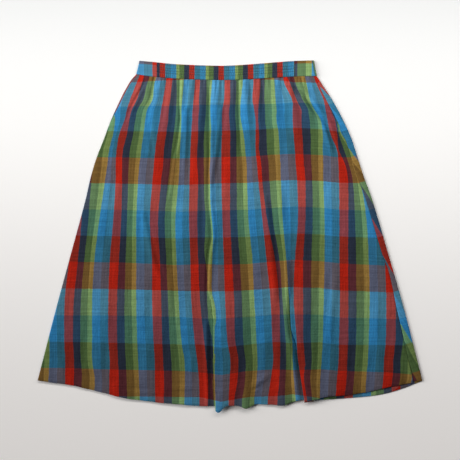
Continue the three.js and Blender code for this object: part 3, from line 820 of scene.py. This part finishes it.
# --------------------
# Back panel
# The same cut and cloth as the front. It lies flat under it, comes round the right edge up to the
# side seam, and its longer hem shows below the front one at the lower right.

# Across the cut cloth, at the right fold: drop, place
FOLD_CLOTH = [
    (30, 114), (66, 104), (80, 100), (114, 88), (160, 80), (199, 71), (226, 62), (254, 51), (323, 35),
    (395, 18), (479, 0), (560, -19), (633, -38), (661, -44), (712, -56),
]
WRAP_DENSITY = 0.75  # cloth for each millimetre of the part that comes round
FOLD_EASE = 11  # cloth taken up just inside the fold
FOLD_EASE_WIDTH = 46
# Cloth for each millimetre across the flat part: drop, cloth
FLAT_DENSITY = np.array([
    (36, 1.47), (66, 1.34), (88, 1.293), (105, 1.257), (130, 1.237), (200, 1.19), (710, 0.951),
], float)
WRAP_SLANT = 0.4  # slope of the weft on the part that comes round
FLAT_SHIFT = 8  # how much lower the weft lies on the flat part
LEFT_CURL = 0.6
BACK_COLUMNS = 150
SEAM_BEND = 3  # beyond this bend, in radians, the cloth lies flat over the front

[fold_cloth] = curves(FOLD_CLOTH)
fold_radius = (FRONT_REST - BACK_REST) / 2


def bend_line(drop):
    """X at which the cloth begins to bend round the right edge."""
    return right_edge(drop) - THICKNESS / 2 - fold_radius


def flat_start(drop):
    """X at which the cloth lies flat, right of the curl at its left edge."""
    return left_edge(drop) + THICKNESS / 2 + LEFT_CURL


def back_place(flat, curl, bend, over, down, turn):
    """The middle of the back panel's cloth: curled up at the left, flat, and round at the right."""
    x, drop = lay(flat, down, back_hem, flat_start, bend_line)
    strip = wrap_width(drop) - THICKNESS / 2 - fold_radius - SEAM_CLEAR / 2
    x = x - LEFT_CURL * np.sin(curl) + fold_radius * np.sin(bend) - strip * over
    z = BACK_REST + LEFT_CURL * (1 - np.cos(curl)) + fold_radius * (1 - np.cos(bend))
    z -= SEAM_DIP * (1 - ease(strip * (1 - over), 0, SEAM_DIP_REACH)) * (bend > SEAM_BEND)
    inward = np.where(bend > math.pi / 2, -1, 1)
    y = WAIST_TOP - drop - HEM_TURN * np.sin(turn)
    return np.stack([x, y, z + inward * HEM_TURN * (1 - np.cos(turn))], -1)


back_columns = np.concatenate([
    [(0, curl, 0, 0) for curl in np.radians([90, 60, 30])],
    [(flat, 0, 0, 0) for flat in np.linspace(0, 1, BACK_COLUMNS)],
    [(1, 0, bend, 0) for bend in np.radians([22, 45, 67, 90, 112, 135, 158, 180])],
    [(1, 0, math.pi, over) for over in (0.25, 0.5, 0.75, 0.88, 1)],
]).T
on_bend = back_columns[2] > 0
past_edge = back_columns[2] > math.pi / 2
back_points = panel_grid(back_place, back_columns)


def back_warp(points):
    """Distance across the cut cloth: it grows from the side seam to the left edge."""
    drop = WAIST_TOP - points[..., 1]
    inside = np.maximum(bend_line(drop) - points[..., 0], 0)
    density = np.interp(drop, FLAT_DENSITY[:, 0], FLAT_DENSITY[:, 1])
    flat = FOLD_EASE * ease(inside, 0, FOLD_EASE_WIDTH) + inside * density
    past = (right_edge(drop) - points[..., 0]) * WRAP_DENSITY * past_edge
    return fold_cloth(drop) + np.where(on_bend, -past, flat)


back_drop = WAIST_TOP - back_points[..., 1]
back_from_seam = back_points[..., 0] - side_seam(back_drop)
from_seam = np.where(past_edge, back_from_seam, wrap_width(back_drop))
to_fold = np.maximum(bend_line(back_drop) - back_points[..., 0], 0)
weft_shift = WRAP_SLANT * from_seam + FLAT_SHIFT * ease(to_fold, 0, FOLD_EASE_WIDTH)
back_cut = np.stack([back_warp(back_points), weft_places(back_points, weft_shift)], -1)
back_panel = cloth_grid("back_panel_cloth", back_points, back_cut)
wear_on(back_panel, check_cotton)
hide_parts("back_panel")

# --------------------
# Back waistband
# A plain strip of the same cotton, folded in half and sewn to the back panel. It lies under the
# front band, and its end turns up beside the front's at the right.

BAND_LEAN = 7  # how far the band's top corners lie inside the lower ones
BAND_LEAN_REACH = 14
BACK_BAND_FOOT = 0.06
BACK_BAND_TOP = 2.2
BAND_TURN = 3.2  # width of its turned-up end
TURN_COLUMNS = 9
PLAIN_TOP = 5.2  # height of the front band's plain ends
STRIP_LENGTH = 2.0  # grid step along the plain strips
END_CLOSE = 1.4  # length over which a strip's end closes
END_LEAST = 0.02
BACK_BAND_WARP = 234  # place across the cut cloth at the middle of the frame
BACK_BAND_WEFT = 6  # place down the cut cloth at the top edge
# Shares of a strip's width at which its section has points, closer at both folds
SECTION_SHARES = (
    0, 0.004, 0.015, 0.035, 0.07, 0.14, 0.27, 0.42, 0.58, 0.73, 0.86, 0.93, 0.965, 0.985, 0.996, 1)
SECTION_POWER = 14  # how square the folds are

band_left = WAIST[0][0]
band_right = WAIST[-1][0]


def strip_section(steps=()):
    """Points round a folded strip: a share of its width from the seam up, and -1 below to 1 above.
    Steps are shares that its upper side needs besides the usual ones."""
    over = np.unique(np.concatenate([SECTION_SHARES, steps]))
    share = np.concatenate([over, SECTION_SHARES[-2::-1]])
    side = np.sqrt(np.clip(1 - abs(2 * share - 1) ** SECTION_POWER, 0, 1))
    side[len(over):] *= -1
    return share, side


def band_points(xs, share, height):
    """Points of a band: share and height hold a row for each step round it, a column for each x."""
    near_left, near_right = (bell(xs - corner, BAND_LEAN_REACH) for corner in (band_left, band_right))
    lean = BAND_LEAN * (near_left - near_right)
    drop = band_seam(xs) + (band_top(xs) - band_seam(xs)) * share
    return np.stack([xs + lean * share, WAIST_TOP - drop, height], -1)


def strip_places(xs, bottom, top, close_left, close_right):
    """A plain folded strip between two heights; its closed ends are pressed together."""
    share, side = strip_section()
    ends = np.ones(len(xs))
    if close_left:
        ends = ends * np.sqrt(np.clip((xs - xs[0]) / END_CLOSE, END_LEAST, 1))
    if close_right:
        ends = ends * np.sqrt(np.clip((xs[-1] - xs) / END_CLOSE, END_LEAST, 1))
    middle, half = (top + bottom) / 2, (top - bottom) / 2
    height = middle + half * side[:, None] * ends
    return band_points(np.tile(xs, (len(share), 1)), np.tile(share[:, None], (1, len(xs))), height)


def even(start, end, step):
    """Places from start to end, about a step apart."""
    return np.linspace(start, end, max(int(round(abs(end - start) / step)), 2) + 1)


pressed_cotton = madras("pressed madras cotton", 0.35, 0.92)

turn_start = band_right - BAND_TURN
back_xs = np.concatenate([
    even(band_left, turn_start - 0.4, STRIP_LENGTH),
    np.linspace(turn_start + 0.2, band_right, TURN_COLUMNS),
])
back_top = np.where(back_xs > turn_start, PLAIN_TOP, BACK_BAND_TOP)
back_band_points = strip_places(back_xs, BACK_BAND_FOOT, back_top, True, True)
back_band_x = back_band_points[..., 0]
back_band_drop = WAIST_TOP - back_band_points[..., 1] - band_top(back_band_x)
back_band_cut = np.stack([BACK_BAND_WARP - back_band_x, BACK_BAND_WEFT + back_band_drop], -1)
back_band = cloth_grid("back_band_cloth", back_band_points, back_band_cut, tube=True)
wear_on(back_band, pressed_cotton)
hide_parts("waistband_back")

# --------------------
# Elastic casing
# The middle of the front band: a strip cut across the check and folded round 32 mm elastic. Four
# rows of stitches hold the elastic, and the cloth puckers between them.

casing_low, casing_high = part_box("waistband_elastic")
CASING_LEFT = casing_low.x / MM
CASING_RIGHT = casing_high.x / MM
CASING_BOTTOM = 2.5
CASING_TOP = 6.0
CASING_STEP = 0.8
STITCH_ROWS = (0.3, 0.47, 0.66, 0.88)  # shares of the casing's width
PUCKER_ABOVE = 0.6
PUCKER_BELOW = 0.2  # flatter below, where the casing lies on the back band
GROOVE_WIDTH = 0.032
GROOVE_DEPTH = 1.0
CASING_DENSITY = 1.534  # cloth gathered into each millimetre of the casing
CASING_FIRST_RED = -155.6  # x at which the first red stripe begins, seen from the left
CASING_WEFT = 3 * WEFT_BAND + 1.5  # place down the cut cloth at the top edge
CASING_WIDTH = 32
PUCKER_PITCH = 4.3


def puckers(x, row):
    """Uneven puckers along the casing, different between each pair of stitch rows."""
    phase = 2 * np.pi * x / PUCKER_PITCH + 1.6 * np.sin(x / 9.0 + row) + 1.1 * np.sin(x / 23.0 + 2 * row)
    return np.cos(phase) * (0.75 + 0.25 * np.sin(x / 6.1 + 3 * row))


def casing_height(xs, share, side):
    """Height of the casing's cloth: domed, pressed in along the stitch rows, puckered between."""
    middle, half = (CASING_TOP + CASING_BOTTOM) / 2, (CASING_TOP - CASING_BOTTOM) / 2
    grooves = sum(bell(share - row, GROOVE_WIDTH) for row in STITCH_ROWS)
    zone = sum((share > row).astype(float) for row in STITCH_ROWS)
    fullness = np.clip(1 - 0.85 * grooves, 0, 1) * ease(abs(side), 0.3, 1)
    lift = np.where(side > 0, PUCKER_ABOVE, PUCKER_BELOW) * puckers(xs, zone) * fullness
    return middle + half * side + np.sign(side) * (lift - GROOVE_DEPTH * grooves * (side > 0))


casing_xs = even(CASING_LEFT, CASING_RIGHT, CASING_STEP)
groove_steps = np.array([-0.08, -0.052, -0.034, -0.018, 0, 0.018, 0.034, 0.052, 0.08])
casing_share, casing_side = strip_section(np.concatenate([row + groove_steps for row in STITCH_ROWS]))
casing_shares, casing_sides = (
    np.tile(values[:, None], (1, len(casing_xs))) for values in (casing_share, casing_side))
casing_grid_x = np.tile(casing_xs, (len(casing_share), 1))
casing_z = casing_height(casing_grid_x, casing_shares, casing_sides)
casing_points = band_points(casing_grid_x, casing_shares, casing_z)
casing_cut = np.stack([
    RED_WIDTH - (casing_grid_x - CASING_FIRST_RED) * CASING_DENSITY,
    CASING_WEFT - (1 - casing_shares) * CASING_WIDTH,
], -1)
casing = cloth_grid("casing_cloth", casing_points, casing_cut, tube=True)
wear_on(casing, madras("gathered madras cotton", 0.35, 1.25))
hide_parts("waistband_elastic")

# --------------------
# Plain ends of the front band
# Folded strips of the same cotton without elastic, sewn to both ends of the casing. They lie on
# the back waistband.

PLAIN_BOTTOM = 2.5
RED_EDGE = 6.4  # width of the red weft along the top edge
LEFT_WARP = 64  # place across the cut cloth where the left end starts, at its outer side
RIGHT_WARP = 29  # the same where the right end starts, at the casing
LEFT_DENSITY = 1.0  # cloth for each millimetre across
RIGHT_DENSITY = 0.85


def plain_end(name, node, start, end, warp, density, close_left, close_right):
    """A plain end of the band, from one x to another."""
    xs = even(start, end, STRIP_LENGTH / 2)
    points = strip_places(xs, PLAIN_BOTTOM, PLAIN_TOP, close_left, close_right)
    depth = WAIST_TOP - points[..., 1] - band_top(points[..., 0])
    cut = np.stack([warp + (points[..., 0] - start) * density, depth - RED_EDGE], -1)
    piece = cloth_grid(name, points, cut, tube=True)
    wear_on(piece, pressed_cotton)
    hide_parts(node)
    return piece


end_left = plain_end(
    "end_left_cloth", "waistband_end_left", band_left, CASING_LEFT - SEAM_CLEAR,
    LEFT_WARP, LEFT_DENSITY, True, False)
end_right = plain_end(
    "end_right_cloth", "waistband_end_right", CASING_RIGHT + SEAM_CLEAR, turn_start - SEAM_CLEAR,
    RIGHT_WARP, RIGHT_DENSITY, False, True)

# --------------------
# Stitches
# Rows of dark thread through the casing, and one row that holds the hem. Both threads are painted
# darker than the real thread, as shade of the grooves and dimples that the stitches sit in.

STITCH_PITCH = 3.1
STITCH_LENGTH = 2.7
STITCH_RADIUS = 0.42
STITCH_FLATNESS = 0.8
HEM_STITCH_PITCH = 3.8
HEM_STITCH_SINK = 0.3
CASING_STITCH_LIFT = 0.05
ROW_MARGIN = 2  # what a row leaves free at the casing's ends
HEM_ROW_START = 4
THREAD_SCALE = 900.0


def thread_material(name, colour):
    """Twisted thread: its colour, a little darker and lighter along the twist."""
    material, tree, shader = new_material(name, {"Roughness": 0.6, "Sheen Weight": 0.1})
    place = add_node(tree, "TexCoord").outputs["Object"]
    twist = add_node(tree, "TexNoise", {"Vector": place, "Scale": THREAD_SCALE}).outputs[0]
    tones = add_node(tree, "ValToRGB", {"Fac": twist})
    for element, shade in zip(tones.color_ramp.elements, (0.7, 1.3)):
        element.color = (*[value * shade for value in colour], 1)
    tree.links.new(tones.outputs["Color"], shader.inputs["Base Color"])
    return material


def stitches(name, rows, material):
    """A piece of stitching: an egg of thread at each place of each row, laid along the row."""
    up, across = Vector((0, 0, 1)), Vector((1, 0, 0))
    lying = up.rotation_difference(across).to_matrix()
    size = (STITCH_LENGTH / 2 / STITCH_RADIUS, 1, STITCH_FLATNESS)
    thread = bmesh.new()
    for places in rows:
        along = np.gradient(places, axis=0)
        along = along / np.linalg.norm(along, axis=1)[:, None]
        for place, heading in zip(places, along):
            verts = bmesh.ops.create_uvsphere(
                thread, u_segments=6, v_segments=4, radius=STITCH_RADIUS * MM)["verts"]
            turned = across.rotation_difference(Vector(heading)).to_matrix()
            bmesh.ops.rotate(thread, verts=verts, matrix=lying)
            bmesh.ops.scale(thread, verts=verts, vec=size)
            bmesh.ops.rotate(thread, verts=verts, matrix=turned)
            bmesh.ops.translate(thread, verts=verts, vec=Vector(place) * MM)
    for face in thread.faces:
        face.smooth = True
    piece = to_object(name, thread)
    wear_on(piece, material)
    return piece


def casing_row(share):
    """The places of one row of stitches along the casing."""
    xs = np.arange(CASING_LEFT + ROW_MARGIN, CASING_RIGHT - ROW_MARGIN, STITCH_PITCH)
    shares = np.full(len(xs), share)
    height = casing_height(xs, shares, np.ones(len(xs)))
    return band_points(xs, shares, height + CASING_STITCH_LIFT)


# The casing thread is real dark thread, painted darker still as the shade of the stitch grooves.
casing_stitches = stitches(
    "casing_stitches", [casing_row(share) for share in STITCH_ROWS],
    thread_material("casing thread with painted groove shade", (0.008, 0.018, 0.03)))

# The hem's stitches follow the panel's row at the hem's depth, where the panel is seen from above.
stitch_line = front_points[np.argmin(abs(row_down[row_lift == 0] - hem_stitch))]
line_steps = np.linalg.norm(np.diff(stitch_line, axis=0), axis=1)
line_length = np.concatenate([[0], np.cumsum(line_steps)])
stations = np.arange(HEM_ROW_START, line_length[-1] - ROW_MARGIN, HEM_STITCH_PITCH)
hem_row = np.stack([np.interp(stations, line_length, stitch_line[:, axis]) for axis in range(3)], -1)
hem_row[:, 2] += THICKNESS / 2 - HEM_STITCH_SINK
# The hem thread is painted near black as the shade of the stitch dimples; the real thread matches the
# cloth.
hem_stitches = stitches(
    "hem_stitches", [hem_row], thread_material("hem thread with painted dimple shade", (0.035, 0.04, 0.04)))
